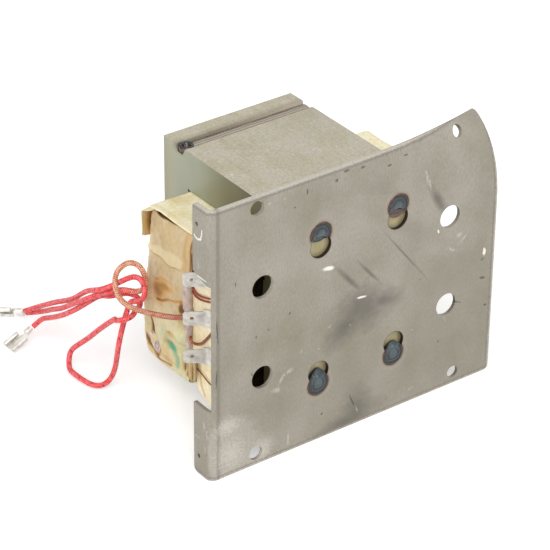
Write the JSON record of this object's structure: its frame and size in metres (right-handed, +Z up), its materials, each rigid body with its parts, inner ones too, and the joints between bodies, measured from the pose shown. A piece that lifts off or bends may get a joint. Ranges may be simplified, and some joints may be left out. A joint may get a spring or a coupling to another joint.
{
  "type": "high voltage transformer",
  "caption": "Microwave oven transformer: welded laminated core on a folded steel plate, wrapped primary and secondary coils, tab terminals and loose red filament leads.",
  "frame": {"origin": "centre of the foot: the middle of the box of everything but the loose leads and their terminals, at the height of the lower edge of plate and core", "axes": "+X to the right along the mounting plate seen from its outer face, -Y out of that face, +Z up with the object standing on the lower edges of plate and core"},
  "size_m": [0.1584, 0.1566, 0.1235],
  "materials": {
    "zinc_steel": "dull grey zinc-plated sheet with faint pink and olive patches, scratched",
    "varnished_core": "varnished steel laminations, grey-green, worn beige on top",
    "weld_bead": "blue-grey weld metal with a brown rim",
    "enamelled_wire": "reddish brown enamel over copper",
    "cream_paper": "cream insulating paper",
    "varnished_paper": "tan paper soaked with varnish",
    "pressed_board": "pinkish pressed board",
    "shunt_steel": "dark laminated steel",
    "tinned_steel": "bright tinned steel",
    "red_sleeve": "red braided glass sleeve, its first stretch faded to salmon"
  },
  "bodies": {
    "root": {"base_plate": "zinc_steel", "core_e_stack": "varnished_core", "core_i_stack": "varnished_core", "seam_weld_top": "weld_bead", "seam_weld_bottom": "weld_bead", "plug_weld_upper_left": "weld_bead", "plug_weld_upper_right": "weld_bead", "plug_weld_lower_left": "weld_bead", "plug_weld_lower_right": "weld_bead", "primary_winding": "enamelled_wire", "primary_wrap": "cream_paper", "secondary_winding": "enamelled_wire", "secondary_wrap": "varnished_paper", "secondary_paper_upper": "cream_paper", "filament_winding": "enamelled_wire", "shunt_upper": "shunt_steel", "shunt_lower": "shunt_steel", "separator_left": "pressed_board", "separator_right": "pressed_board", "primary_tab_upper": "tinned_steel", "primary_tab_middle": "tinned_steel", "secondary_tab": "tinned_steel", "primary_lead_upper": "enamelled_wire", "primary_lead_middle": "enamelled_wire", "secondary_lead": "enamelled_wire", "filament_lead": "red_sleeve", "jumper_lead": "red_sleeve", "filament_terminal": "tinned_steel", "receptacle_terminal": "tinned_steel"}
  },
  "joints": []
}
